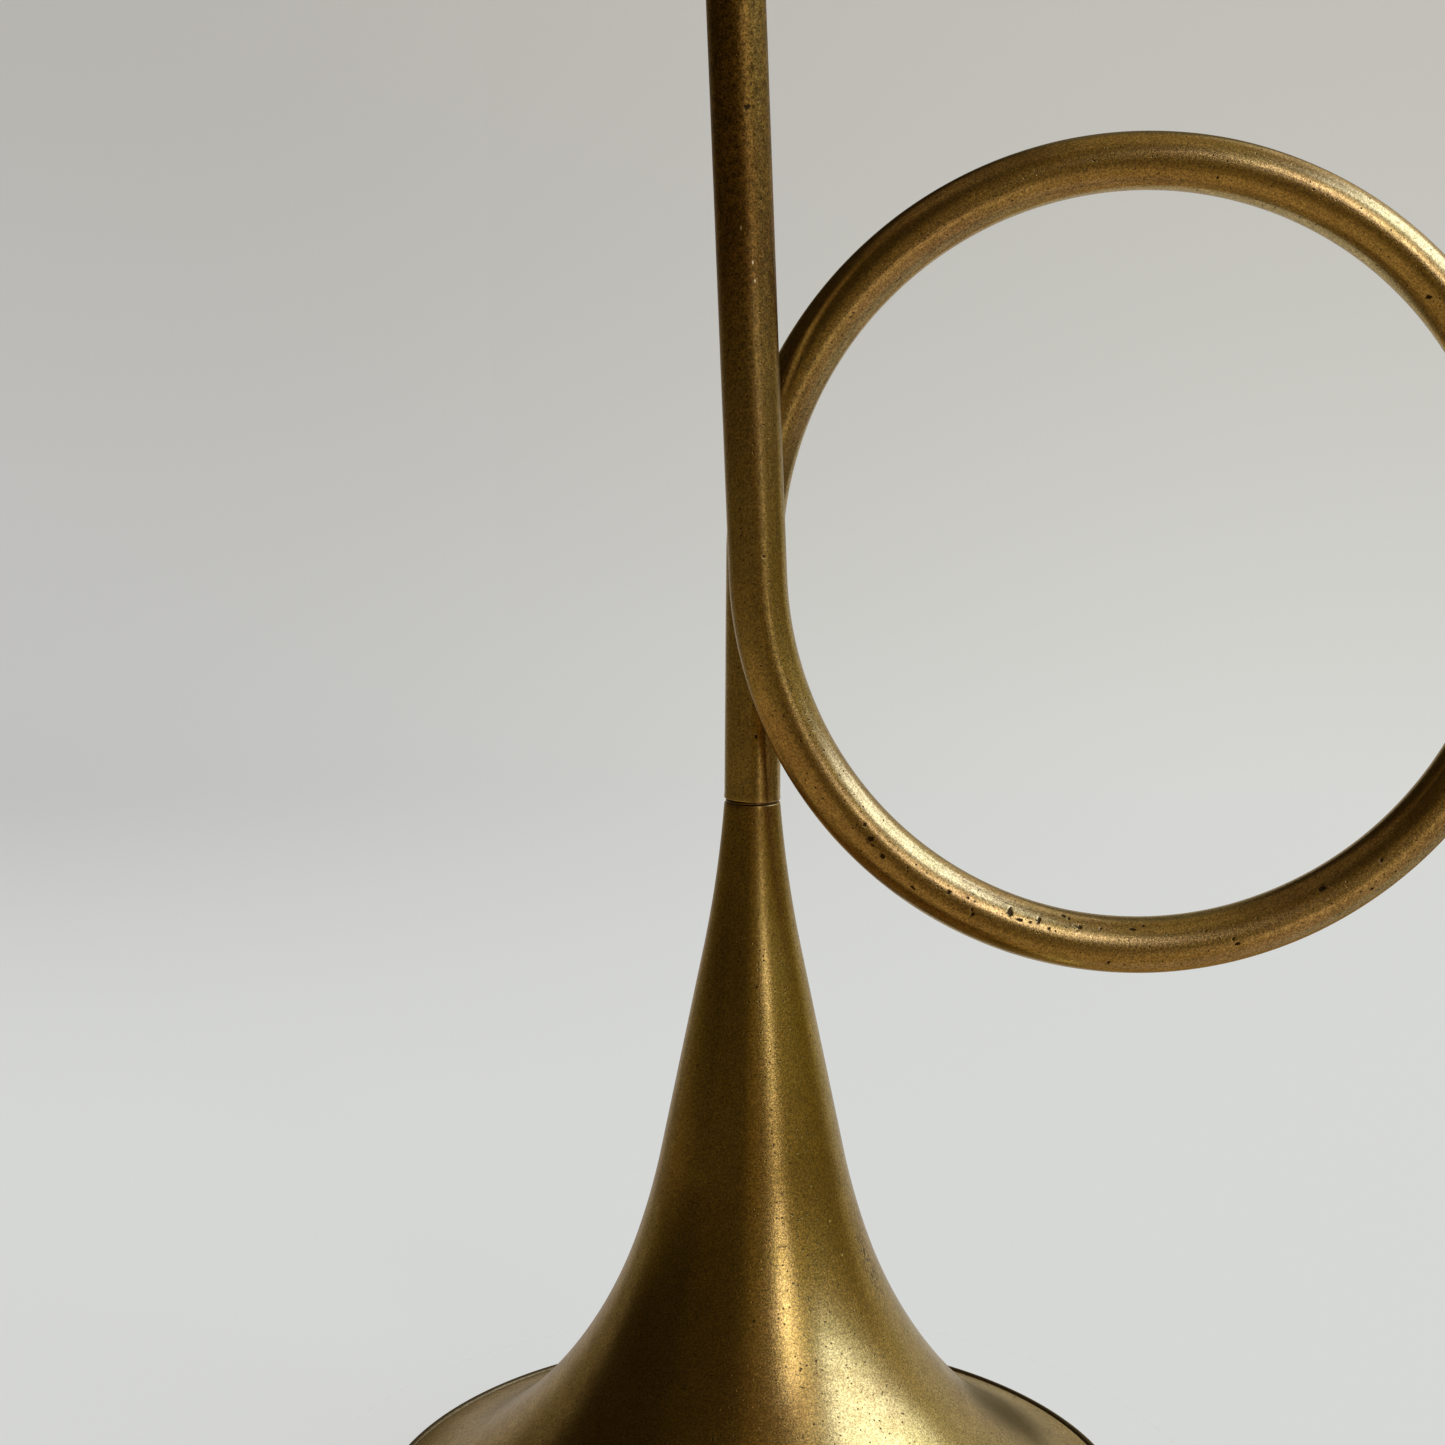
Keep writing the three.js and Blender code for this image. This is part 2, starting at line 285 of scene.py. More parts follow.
def stage_sector(name, profile, start, end, sides):
    """The profile turned about the horn's axis from one azimuth to another."""
    bm = bmesh.new()
    rings = []
    for k in range(sides + 1):
        a = start + (end - start) * k / sides
        right, back = math.sin(a), -math.cos(a)
        rings.append([bm.verts.new((AXIS_X + r * right, r * back, z)) for r, z in profile])
    for one, two in zip(rings, rings[1:]):
        for i in range(len(profile) - 1):
            bm.faces.new((one[i], one[i + 1], two[i + 1], two[i]))
    bmesh.ops.remove_doubles(bm, verts=bm.verts, dist=1e-6)
    mesh = bpy.data.meshes.new(name)
    bm.to_mesh(mesh)
    bm.free()
    mesh.shade_smooth()
    stage = bpy.data.objects.new(name, mesh)
    bpy.context.collection.objects.link(stage)
    return stage


# Glow of the paper near the horn, halfway back and up the wall, at the left and at the right
STAGE_GLOW = (
    ((0.575, 0.585, 0.57, 1), (0.43, 0.428, 0.415, 1), (0.36, 0.355, 0.335, 1)),
    ((0.58, 0.59, 0.57, 1), (0.575, 0.58, 0.55, 1), (0.465, 0.46, 0.43, 1)),
)
STAGE_MATT = (0.2, 0.2, 0.2, 1)
# Where the glow changes from near to halfway and from there to the wall, in metres back and up
HALFWAY_FADE = 0.3, 1.8
WALL_FADE = 1.8, 3.7
# Where it changes from left to right: metres across for each metre away from a place that is
# VIEW_DISTANCE in front of the horn's axis
ACROSS_FADE = -0.36, 0.30
VIEW_DISTANCE = 0.8


def stage_material():
    """Pale paper with a glow of its own, as the light falls on it unevenly."""
    material = bpy.data.materials.new("pale_stage")
    t = Tree(material)
    x, y, z = t.add("ShaderNodeSeparateXYZ", {0: t.add("ShaderNodeNewGeometry")}).node.outputs
    behind = t.math("ADD", y, z)
    sides = []
    for near, halfway, wall in STAGE_GLOW:
        floor = t.mix(t.steps(behind, *HALFWAY_FADE), near, halfway)
        sides.append(t.mix(t.steps(behind, *WALL_FADE), floor, wall))
    reach = t.math("MAXIMUM", t.math("ADD", y, VIEW_DISTANCE), VIEW_DISTANCE)
    across = t.math("DIVIDE", t.math("SUBTRACT", x, AXIS_X), reach)
    color = t.mix(t.steps(across, *ACROSS_FADE), *sides)
    glow = t.add("ShaderNodeEmission", {"Color": color, "Strength": 1.0})
    matt = t.add("ShaderNodeBsdfDiffuse", {"Color": STAGE_MATT})
    t.finish(t.add("ShaderNodeAddShader", {0: matt, 1: glow}))
    return material


def make_stage():
    """The horn reflects the wall behind it. The rest is seen by the camera alone, so that the
    horn reflects the room instead. The floor below the horn takes its shadow."""
    material = stage_material()
    below_horn = [(0, 0), (BELOW_HORN_R, 0), (NEAR_FLOOR_R, 0)]
    upper_wall = [(WALL_R, REFLECTED_WALL_TOP), (WALL_R, WALL_TOP)]
    behind = BACK_RIGHT, BACK_LEFT, BACK_SIDES
    in_front = BACK_LEFT - FULL_TURN, BACK_RIGHT, ROUND_SIDES
    floor = stage_sector("stage_floor", below_horn, 0, FULL_TURN, ROUND_SIDES)
    back = stage_sector("stage_back", stage_profile(REFLECTED_WALL_TOP), *behind)
    upper = stage_sector("stage_upper", upper_wall, *behind)
    front = stage_sector("stage_front", stage_profile(WALL_TOP), *in_front)
    floor.visible_glossy = False
    for part in (upper, front):
        part.visible_glossy = False
        part.visible_diffuse = False
        part.visible_shadow = False
    for part in (floor, back, upper, front):
        part.data.materials.append(material)


# --- Mesh helpers ---------------------------------------------------------------------------

# The bend from which an edge is shaded sharp, and those at which rubbing begins and is full
SHARP = math.radians(40)
WEAR_FROM = math.radians(7)
WEAR_FULL = math.radians(26)
# A rounded corner: its usual size, the most that it takes of a side, and its fewest and most steps
EDGE_ROUNDING = 0.2 * MM
CORNER_SHARE = 0.48
CORNER_STEPS = 4, 14
LIP_STEPS = 4


def smooth(share):
    """The share from 0 to 1, eased at both ends."""
    share = min(max(share, 0.0), 1.0)
    return share * share * (3 - 2 * share)


def store(mesh, name, values):
    layer = mesh.attributes.new(name, "FLOAT", "POINT")
    layer.data.foreach_set("value", values)


def finish_mesh(name, bm, flow, rubbing=None, **further):
    """Turns bm into an object with what its material reads from each vertex.

    `flow` is the place on the straightened-out piece, and `wear` is 1 on an outer edge that is
    rubbed bright, times `rubbing`. `further` may add `pit`, 1 at the bottom of a pit, `tarnish`,
    1 where the brass is darkest, and `porous`, 1 where it is full of small elongated holes.
    """
    bmesh.ops.recalc_face_normals(bm, faces=bm.faces)
    bm.verts.index_update()
    wear = [0.0] * len(bm.verts)
    for edge in bm.edges:
        if len(edge.link_faces) != 2:
            continue
        bend = edge.calc_face_angle_signed()
        edge.smooth = abs(bend) < SHARP
        rubbed = smooth((bend - WEAR_FROM) / (WEAR_FULL - WEAR_FROM))
        for vert in edge.verts:
            share = rubbing[vert.index] if rubbing else 1.0
            wear[vert.index] = max(wear[vert.index], rubbed * share)
    for face in bm.faces:
        face.smooth = True
    mesh = bpy.data.meshes.new(name)
    bm.to_mesh(mesh)
    bm.free()
    layer = mesh.attributes.new("flow", "FLOAT_VECTOR", "POINT")
    layer.data.foreach_set("vector", [c for place in flow for c in place])
    store(mesh, "wear", wear)
    for key, values in further.items():
        store(mesh, key, values)
    made = bpy.data.objects.new(name, mesh)
    bpy.context.collection.objects.link(made)
    return made


def join_rings(bm, rings):
    """Faces between each closed ring and the next, and between the last and the first."""
    for one, two in zip(rings, rings[1:] + rings[:1]):
        count = len(one)
        for k in range(count):
            bm.faces.new((one[k], one[(k + 1) % count], two[(k + 1) % count], two[k]))


def turned(name, outline, sides=96, place=None, **further):
    """A closed outline of (radius, height) turned about Z, then set by the matrix `place`.

    `outline` may be a function of the angle, for a thread. `further` gives functions of the
    angle and height for the values that finish_mesh stores.
    """
    place = place or Matrix.Translation((AXIS_X, 0, 0))
    bm = bmesh.new()
    flow = []
    columns = []
    stored = {key: [] for key in further}
    for k in range(sides):
        a = FULL_TURN * k / sides
        column = []
        along = 0.0
        before = None
        for r, z in outline(a) if callable(outline) else outline:
            if before:
                along += math.hypot(r - before[0], z - before[1])
            before = (r, z)
            column.append(bm.verts.new(place @ Vector((r * math.cos(a), r * math.sin(a), z))))
            flow.append((r * math.cos(a), r * math.sin(a), along))
            for key, value in further.items():
                stored[key].append(value(a, z))
        columns.append(column)
    join_rings(bm, columns)
    return finish_mesh(name, bm, flow, **stored)


def rounded(points, radius, longest=1.2 * MM):
    """The closed outline with its corners rounded and its long sides divided.

    A point is (radius, height) or, where its corner has its own rounding, (radius, height, round).
    """
    corners = []
    count = len(points)
    for i in range(count):
        p = Vector(points[i][:2])
        own = points[i][2] if len(points[i]) > 2 else radius
        back = Vector(points[i - 1][:2]) - p
        ahead = Vector(points[(i + 1) % count][:2]) - p
        cut = min(own, back.length * CORNER_SHARE, ahead.length * CORNER_SHARE)
        corners.append((p + back.normalized() * cut, p, p + ahead.normalized() * cut, cut))
    out = []
    for i in range(count):
        start, p, end, cut = corners[i]
        steps = min(CORNER_STEPS[0] + int(cut / MM), CORNER_STEPS[1])
        for k in range(steps + 1):
            t = k / steps
            out.append(start.lerp(p, t).lerp(p.lerp(end, t), t))
        after = corners[(i + 1) % count][0]
        pieces = int((after - end).length / longest)
        out += [end.lerp(after, k / (pieces + 1)) for k in range(1, pieces + 1)]
    return [tuple(p) for p in out]


def rounded_lip(radius):
    """Radius and distance from the end at each point of a tube's rounded outer edge."""
    turns = [math.pi / 2 * i / LIP_STEPS for i in range(LIP_STEPS + 1)]
    return [(radius - LIP * (1 - math.sin(t)), LIP * (1 - math.cos(t))) for t in turns]


def install(piece, body, node, material):
    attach(piece, body)
    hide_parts(node)
    piece.data.materials.append(material)
    return piece


# --- Bell -----------------------------------------------------------------------------------

CONE_STEPS = 40
BELL_SIDES = 224
RIM_STEPS = 36
RIM_SIDES = 288

# The neck is duller and browner than the flare
NECK_TARNISH = 0.45
NECK_TARNISH_LENGTH = 80 * MM
# A patch of small holes in the sheet, at the right. Its angles are in degrees
POROUS_ANGLE = -22
POROUS_HALF_ANGLE = 10
POROUS_Z = 96 * MM
POROUS_HALF_HEIGHT = 22 * MM


def flare_arc(start, slope1, radius, steps):
    """Radius, height and slope along an arc that bends outwards from `start` to `slope1`."""
    r0, z0, slope0 = start
    points = []
    for i in range(1, steps + 1):
        slope = slope0 + (slope1 - slope0) * i / steps
        r = r0 + radius * (math.cos(slope0) - math.cos(slope))
        z = z0 - radius * (math.sin(slope) - math.sin(slope0))
        points.append((r, z, slope))
    return points


def bell_line():
    """Radius, height and slope of the bell's outside from the neck to the sheet's edge."""
    line = [(NECK_R, NECK_Z, NECK_SLOPE)]
    line += flare_arc(line[-1], CONE_SLOPE, NECK_ARC, steps=30)
    r, z, slope = line[-1]
    for i in range(1, CONE_STEPS + 1):
        step = CONE_LENGTH * i / CONE_STEPS
        line.append((r + step * math.sin(slope), z - step * math.cos(slope), slope))
    line += flare_arc(line[-1], THROAT_SLOPE, THROAT_ARC, steps=20)
    line += flare_arc(line[-1], FLARE_SLOPE, FLARE_ARC, steps=60)
    r, z, slope = line[-1]
    chord = math.atan2(SHEET_EDGE_R - r, z - SHEET_EDGE_Z)
    end = 2 * chord - slope
    radius = math.hypot(SHEET_EDGE_R - r, z - SHEET_EDGE_Z) / (2 * math.sin((end - slope) / 2))
    return line + flare_arc(line[-1], end, radius, steps=24)


def porous_share(angle, height):
    """How full of holes the bell is at an angle and height."""
    across = ((math.degrees(angle) - POROUS_ANGLE + 180) % 360 - 180) / POROUS_HALF_ANGLE
    upwards = (height - POROUS_Z) / POROUS_HALF_HEIGHT
    return 1 - smooth(math.hypot(across, upwards))


def neck_tarnish(angle, height):
    """How dull the bell is at a height, the same all round."""
    return NECK_TARNISH * smooth(1 - (NECK_Z - height) / NECK_TARNISH_LENGTH)


def bell_outside():
    """Radius and height down the bell's outside, from its rounded lip."""
    lip = [(r, NECK_Z - below) for r, below in rounded_lip(NECK_R)]
    return lip + [(r, z) for r, z, slope in bell_line()[1:]]


def make_bell(material):
    inner = [(r - BELL_WALL * math.cos(a), z - BELL_WALL * math.sin(a)) for r, z, a in bell_line()]
    inner[0] = (NECK_R - BELL_WALL, NECK_Z)
    outline = bell_outside() + inner[::-1]
    bell = turned("bell_shell", outline, BELL_SIDES, porous=porous_share, tarnish=neck_tarnish)
    return install(bell, "bell", "bell", material)


def make_rim(material):
    """A round wire with a narrow flat below, on which the horn stands."""
    # The bead's brass is darkened further with painted shade, so that it reads dark along the foot
    centre = RIM_R - RIM_WIRE_R
    flat = math.asin(RIM_FLAT_HALF / RIM_WIRE_R)
    lift = RIM_WIRE_R * math.cos(flat)
    outline = []
    for i in range(RIM_STEPS + 1):
        a = flat + (FULL_TURN - 2 * flat) * i / RIM_STEPS - math.pi / 2
        outline.append((centre + RIM_WIRE_R * math.cos(a), lift + RIM_WIRE_R * math.sin(a)))
    rim = turned("rim_bead", outline, RIM_SIDES)
    return install(rim, "bell", "bell_rim_wire", material)


# --- Screwed joint --------------------------------------------------------------------------

# Points for each turn of thread
THREAD_STEPS = 8
# 1 would give the thread a pointed crest, and more gives it a flatter one
CREST_FLATNESS = 1.25


def thread_side(angle, radius, low, high, inside=False):
    """Points up a right-hand thread whose crest is at `radius`, seen at this angle.

    It runs out at both ends: to the root of an outer thread, and to the open bore of an inner one.
    """
    steps = round((high - low) / THREAD_PITCH * THREAD_STEPS)
    points = []
    for i in range(steps + 1):
        z = low + (high - low) * i / steps
        phase = (z / THREAD_PITCH - angle / FULL_TURN) % 1
        ridge = smooth(CREST_FLATNESS * (1 - abs(2 * phase - 1)))
        fade = min(1.0, (z - low) / THREAD_PITCH, (high - z) / THREAD_PITCH)
        depth = (1 - ridge) * fade if inside else 1 - ridge * fade
        points.append((radius - THREAD_DEPTH * depth, z))
    return points


def make_socket(material):
    """A conical plug inside the bell's neck, with the inner thread."""
    top_r = NECK_R - (BELL_WALL + GAP)
    top = NECK_Z
    foot = NECK_Z - SOCKET_DEPTH
    spread = math.tan(NECK_SLOPE) * SOCKET_DEPTH
    chamfer = 0.3 * MM
    mouth_r = THREAD_R + 2 * GAP
    outer = [(top_r + spread, foot), (top_r, top - chamfer), (top_r - chamfer, top)]

    def outline(angle):
        bore = thread_side(angle, THREAD_R + GAP, foot, top, inside=True)
        return outer + [(mouth_r, top)] + bore[-2:0:-1] + [(mouth_r, foot)]

    socket = turned("threaded_socket", outline)
    return install(socket, "bell", "neck_socket", material)


def make_washer(material):
    """The thin shim in the seam."""
    # Its dark brass is painted shade: it shows as the dark gap of the seam
    low, high = washer_low[2], washer_high[2]
    bore = THREAD_R + GAP
    corners = [(bore, low), (WASHER_R, low), (WASHER_R, high), (bore, high)]
    outline = rounded(corners, radius=0.15 * MM)
    washer = turned("seam_washer", outline)
    return install(washer, "washer", "neck_washer", material)


def make_nipple(material):
    """A hollow screw: its thread goes into the socket, and its plain upper end into the bush."""
    foot = NECK_Z - THREAD_ENGAGED
    top = STEM_Z + STEM_BUSH_LENGTH - MM
    thread_top = STEM_Z + MM
    root_r = THREAD_R - THREAD_DEPTH

    def outline(angle):
        outer = [(NIPPLE_BORE_R, foot), (root_r, foot)]
        outer += thread_side(angle, THREAD_R, foot, thread_top)[1:]
        outer += [(root_r, thread_top + 0.4 * MM), (THREAD_R, thread_top + 0.9 * MM)]
        return outer + [(THREAD_R, top), (NIPPLE_BORE_R, top)]

    nipple = turned("threaded_nipple", outline)
    return install(nipple, "coil", "joint_nipple", material)


def make_bush(material):
    """A ring in the stem's lower end that holds the nipple."""
    outer_r = TUBE_R - TUBE_WALL - 2 * GAP
    low, high = STEM_Z + GAP, STEM_Z + STEM_BUSH_LENGTH
    bore = THREAD_R + GAP
    corners = [(bore, low), (outer_r, low), (outer_r, high, MM), (bore, high)]
    outline = rounded(corners, radius=0.3 * MM)
    bush = turned("tube_bush", outline)
    return install(bush, "coil", "stem_bush", material)


# --- Body tube ------------------------------------------------------------------------------

TO_CENTRE = math.hypot(LOOP_X, LOOP_Z)
STEM_LEAN = math.atan2(LOOP_X, LOOP_Z) - math.asin(LOOP_R / TO_CENTRE)
STEM_LENGTH = math.sqrt(TO_CENTRE ** 2 - LOOP_R ** 2)
SWEEP = FULL_TURN - TOP_LEAN - STEM_LEAN
PATH_START = STEM_Z - SEAM_Z
LOOP_END = STEM_LENGTH + SWEEP * LOOP_R
PATH_END = LOOP_END + TOP_RUN

TUBE_SIDES = 144
COARSE_STEP = 2 * MM
FINE_STEP = 0.42 * MM
# The bore needs a ring at only some of the outside's places
BORE_EVERY = 5
# How far up the seam's wedge reaches
SEAM_REACH = 8 * MM
# Height and length of the waves that bending left, in millimetres, and how far the tube is kept
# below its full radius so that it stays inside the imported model's box
BROAD_WAVE = 0.04, 26
SHORT_WAVE = 0.006, 5
SWELL_ALLOWANCE = 0.13 * MM
# The top run turns dull and brown from the first place to the second, and stays so beyond it
TARNISH_FROM = 900 * MM
TARNISH_FULL = 1060 * MM
PIT_DEPTH = 0.17 * MM
# How far beyond its half length a pit has close rings, and how many half sizes it reaches
PIT_MARGIN = 2 * MM
PIT_REACH = 2
# Share of a full rubbing that the edges of the pits get
PIT_RUBBING = 0.3

# Corrosion pits: place along the tube, angle round it with 90 to the front, half length along
# the tube and half width round it. Millimetres and degrees.
PITS = (
    (833, 82, 0.9, 0.6), (828, 91, 1.0, 1.3), (826, 97, 0.6, 0.4), (821, 100, 1.1, 1.0),
    (812, 86, 0.5, 0.5), (806, 112, 1.3, 0.5), (795, 79, 0.7, 1.1), (788, 70, 0.5, 0.5),
    (784, 95, 0.8, 1.1), (785, 88, 0.5, 0.6), (772, 61, 1.4, 1.7), (768, 69, 1.3, 0.7),
    (764, 66, 0.7, 0.5), (761, 56, 0.8, 1.6), (757, 68, 0.5, 0.6), (752, 31, 1.2, 0.7),
    (750, 36, 0.6, 0.8), (746, 52, 1.6, 0.7), (738, 48, 0.6, 0.5), (726, 45, 1.7, 0.6),
    (722, 36, 0.8, 0.6), (734, 119, 0.7, 0.6), (700, 60, 0.6, 0.5), (690, 99, 1.2, 0.8),
    (691, 87, 0.7, 0.6), (655, 56, 1.9, 0.9), (640, 112, 0.8, 0.6), (632, 74, 0.6, 0.8),
    (408, 54, 1.1, 1.1), (400, 38, 0.5, 0.4), (320, 60, 0.6, 0.5), (1080, 80, 1.1, 1.2),
    (934, 80, 0.6, 0.5), (24, 86, 0.8, 0.6), (37, 66, 0.7, 0.8),
    (470, 250, 1.0, 1.2), (566, 200, 0.8, 0.7), (905, 262, 1.3, 0.9), (1120, 230, 1.0, 0.8),
)


def tube_point(along):
    """A point on the tube's centre line, `along` metres from the middle of the seam."""
    origin = Vector((AXIS_X, 0, SEAM_Z))
    if along < STEM_LENGTH:
        return origin + along * Vector((math.sin(STEM_LEAN), 0, math.cos(STEM_LEAN)))
    turn = min((along - STEM_LENGTH) / (SWEEP * LOOP_R), 1)
    angle = STEM_LEAN + turn * SWEEP
    forwards = turn - math.sin(FULL_TURN * turn) / FULL_TURN
    beyond = max(0, along - STEM_LENGTH - SWEEP * LOOP_R)
    return origin + Vector((
        LOOP_X - LOOP_R * math.cos(angle) - beyond * math.sin(TOP_LEAN),
        -RUN_OFFSET * forwards,
        LOOP_Z + LOOP_R * math.sin(angle) + beyond * math.cos(TOP_LEAN),
    ))


def tube_frame(along):
    """Centre, direction along the tube and the two across it: side lies in the loop's plane, and
    front faces -Y."""
    tangent = (tube_point(along + 1e-4) - tube_point(along - 1e-4)).normalized()
    side = tangent.cross(Vector((0, -1, 0))).normalized()
    return tube_point(along), tangent, side, side.cross(tangent)


def tube_stations():
    """Places along the tube, close together where there are pits."""
    stations = [PATH_START]
    while stations[-1] < PATH_END - COARSE_STEP:
        here = stations[-1]
        near = (abs(here - s * MM) < length * MM + PIT_MARGIN for s, angle, length, width in PITS)
        stations.append(here + (FINE_STEP if any(near) else COARSE_STEP))
    return stations + [PATH_END]


def pit_share(along, angle):
    """How deep a pit is here, from 0 on the sound surface to 1 at the bottom."""
    deepest = 0.0
    for s, degrees, half_length, half_width in PITS:
        across = (angle - math.radians(degrees) + math.pi) % FULL_TURN - math.pi
        u = (along / MM - s) / half_length
        v = across * TUBE_R / MM / half_width
        if abs(u) > PIT_REACH or abs(v) > PIT_REACH:
            continue
        # The pit's outline is ragged in two sizes
        ragged = noise.noise(Vector((u * 1.3, v * 1.3, s))) * 0.6
        ragged += noise.noise(Vector((u * 3.2, v * 3.2, s))) * 0.45
        deepest = max(deepest, 1 - smooth((math.hypot(u, v) * (1 + ragged) - 0.25) / 0.9))
    return deepest


def tube_radius_swell(along, angle):
    """Faint unevenness left by bending the tube by hand."""
    (height, length), (short_height, short_length) = BROAD_WAVE, SHORT_WAVE
    x, y = math.cos(angle), math.sin(angle)
    broad = noise.noise(Vector((x * 0.8, y * 0.8, along / MM / length)))
    short = noise.noise(Vector((x * 0.5 + 7, y * 0.5, along / MM / short_length)))
    return (height * broad + short_height * short) * MM - SWELL_ALLOWANCE


def make_tube(material):
    """Rings up the outside, over the upper lip, down the bore and back to the lower lip."""
    stations = tube_stations()
    bore = TUBE_R - TUBE_WALL
    lip = rounded_lip(TUBE_R)
    # Place along the tube, radius, shift along it, and whether the ring is uneven and pitted
    rows = [(stations[0], r, shift, False) for r, shift in lip]
    rows += [(along, TUBE_R, 0.0, True) for along in stations[1:-1]]
    rows += [(stations[-1], r, -shift, False) for r, shift in reversed(lip)]
    rows += [(along, bore, 0.0, False) for along in stations[:0:-BORE_EVERY] + stations[:1]]
    bm = bmesh.new()
    flow = []
    pits = []
    tarnish = []
    rubbing = []
    rings = []
    for along, radius, shift, uneven in rows:
        centre, tangent, side, front = tube_frame(along)
        near_seam = max(0.0, 1 - (along - PATH_START) / SEAM_REACH)
        ring = []
        for k in range(TUBE_SIDES):
            a = FULL_TURN * k / TUBE_SIDES
            pit = pit_share(along, a) if uneven else 0.0
            r = radius - pit * PIT_DEPTH + (tube_radius_swell(along, a) if uneven else 0.0)
            askew = SEAM_WEDGE * ((1 - math.cos(a)) / 2) ** 2 - SEAM_CLOSE
            lift = shift + near_seam * askew
            outwards = math.cos(a) * side + math.sin(a) * front
            ring.append(bm.verts.new(centre + r * outwards + lift * tangent))
            flow.append((r * math.cos(a), r * math.sin(a), along + lift))
            pits.append(pit)
            rubbing.append(PIT_RUBBING if uneven else 1.0)
            tarnish.append(smooth((along - TARNISH_FROM) / (TARNISH_FULL - TARNISH_FROM)))
        rings.append(ring)
    join_rings(bm, rings)
    tube = finish_mesh("horn_tube", bm, flow, rubbing, pit=pits, tarnish=tarnish)
    return install(tube, "coil", "coil_tube", material)


# --- Brace ----------------------------------------------------------------------------------

# The stem and the upper run, which the brace joins: a stretch of each, from and to in metres along
# the tube, and 1 or -1 where the side that faces the brace is the one towards +Y or -Y
BRACED_RUNS = (0.06, 0.12, -1), (LOOP_END - 0.06, LOOP_END + 0.06, 1)
NEAREST_STEPS = 60
BRACE_COLUMNS = 25
BRACE_ROWS = 17
BRACE_ROUNDING = 0.9 * MM
# From the middle of the saddle to its edge: the share that keeps its depth, and the share that
# is rounded in
BRACE_PLAIN = 0.72
BRACE_EDGE = 0.28


def nearest_on_run(place, low, high):
    """The point of the tube's centre line, between two places along it, that is nearest."""
    places = [low + (high - low) * i / NEAREST_STEPS for i in range(NEAREST_STEPS + 1)]
    return min(map(tube_point, places), key=lambda point: (point - place).length)


def saddle_depth(x, z, low, high, direction):
    """Where a line along Y at (x, z) meets the run of tube, on the side that faces `direction`."""
    centre = nearest_on_run(Vector((x, tube_point((low + high) / 2).y, z)), low, high)
    across = math.hypot(x - centre.x, z - centre.z)
    reach = TUBE_R + GAP
    return centre.y + direction * math.sqrt(reach ** 2 - min(across, reach * 0.95) ** 2)


def eased(i, count):
    """From -1 to 1 in `count` steps that are closest together at the ends."""
    return math.sin(math.pi / 2 * (2 * i / (count - 1) - 1))


def saddle_grid(low, high, direction):
    """Rows of points in the hollow for one run, each with its place across and up from -1 to 1."""
    grid = []
    for j in range(BRACE_ROWS):
        v = eased(j, BRACE_ROWS)
        z = BRACE_Z + v * BRACE_HEIGHT / 2
        line = []
        for i in range(BRACE_COLUMNS):
            u = eased(i, BRACE_COLUMNS)
            x = BRACE_X + u * BRACE_WIDTH / 2
            line.append((x, saddle_depth(x, z, low, high, direction), z, u, v))
        grid.append(line)
    return grid


def border(sheet):
    """The vertices round the edge of a sheet of rows, in order."""
    right = [line[-1] for line in sheet[1:-1]]
    left = [line[0] for line in sheet[-2:0:-1]]
    return sheet[0] + right + sheet[-1][::-1] + left


def make_brace(material):
    """A cast saddle with a hollow for each run of the tube and ends rounded like a biscuit."""
    bm = bmesh.new()
    flow = []
    sheets = []
    grids = [saddle_grid(*run) for run in BRACED_RUNS]
    for grid, other in zip(grids, grids[::-1]):
        sheet = []
        for line, facing in zip(grid, other):
            made = []
            for (x, y, z, u, v), opposite in zip(line, facing):
                edges = [smooth((abs(w) - BRACE_PLAIN) / BRACE_EDGE) for w in (u, v)]
                depth = opposite[1] - y
                most = min(BRACE_ROUNDING, abs(depth) * 0.4)
                inward = math.copysign(most * max(edges) ** 2, depth)
                made.append(bm.verts.new((x, y + inward, z)))
                flow.append((x, y, z))
            sheet.append(made)
        sheets.append(sheet)
    for sheet in sheets:
        for one, two in zip(sheet, sheet[1:]):
            for i in range(BRACE_COLUMNS - 1):
                bm.faces.new((one[i], one[i + 1], two[i + 1], two[i]))
    one, two = map(border, sheets)
    for i in range(len(one)):
        j = (i + 1) % len(one)
        bm.faces.new((one[i], one[j], two[j], two[i]))
    brace = finish_mesh("saddle_brace", bm, flow)
    return install(brace, "coil", "crossing_brace", material)


# --- Mouthpipe group ------------------------------------------------------------------------

# Its pieces are turned about the top run's line. Heights are from the upper end of the tube
MOUTH_PLACE = Matrix.Translation(tube_point(PATH_END)) @ Matrix.Rotation(-TOP_LEAN, 4, "Y")
MOUTH_SIDES = 128

FERRULE_R = 11.6 * MM
FERRULE_LENGTH = 24 * MM
FERRULE_BEAD = 0.7 * MM
MOUTHPIPE_LENGTH = 70 * MM
MOUTHPIPE_WALL = 1 * MM
MOUTHPIPE_STRAIGHT = 14 * MM
MOUTHPIPE_TIP_R = 5.4 * MM
RECEIVER_START = 56 * MM
RECEIVER_LENGTH = 36 * MM
RECEIVER_R = 6.9 * MM
RECEIVER_BORE_R = 4.4 * MM
MOUTHPIECE_START = 71 * MM
MOUTHPIECE_RIM_R = 12.8 * MM
CUP_R = 8.7 * MM
CUP_DEPTH = 26 * MM
CUP_HEIGHT = 44 * MM
THROAT_BORE_R = 2.3 * MM


def mirrored(points):
    """Outline points repeated the other way up, from last to first."""
    return [(r, -z, *rest) for r, z, *rest in reversed(points)]


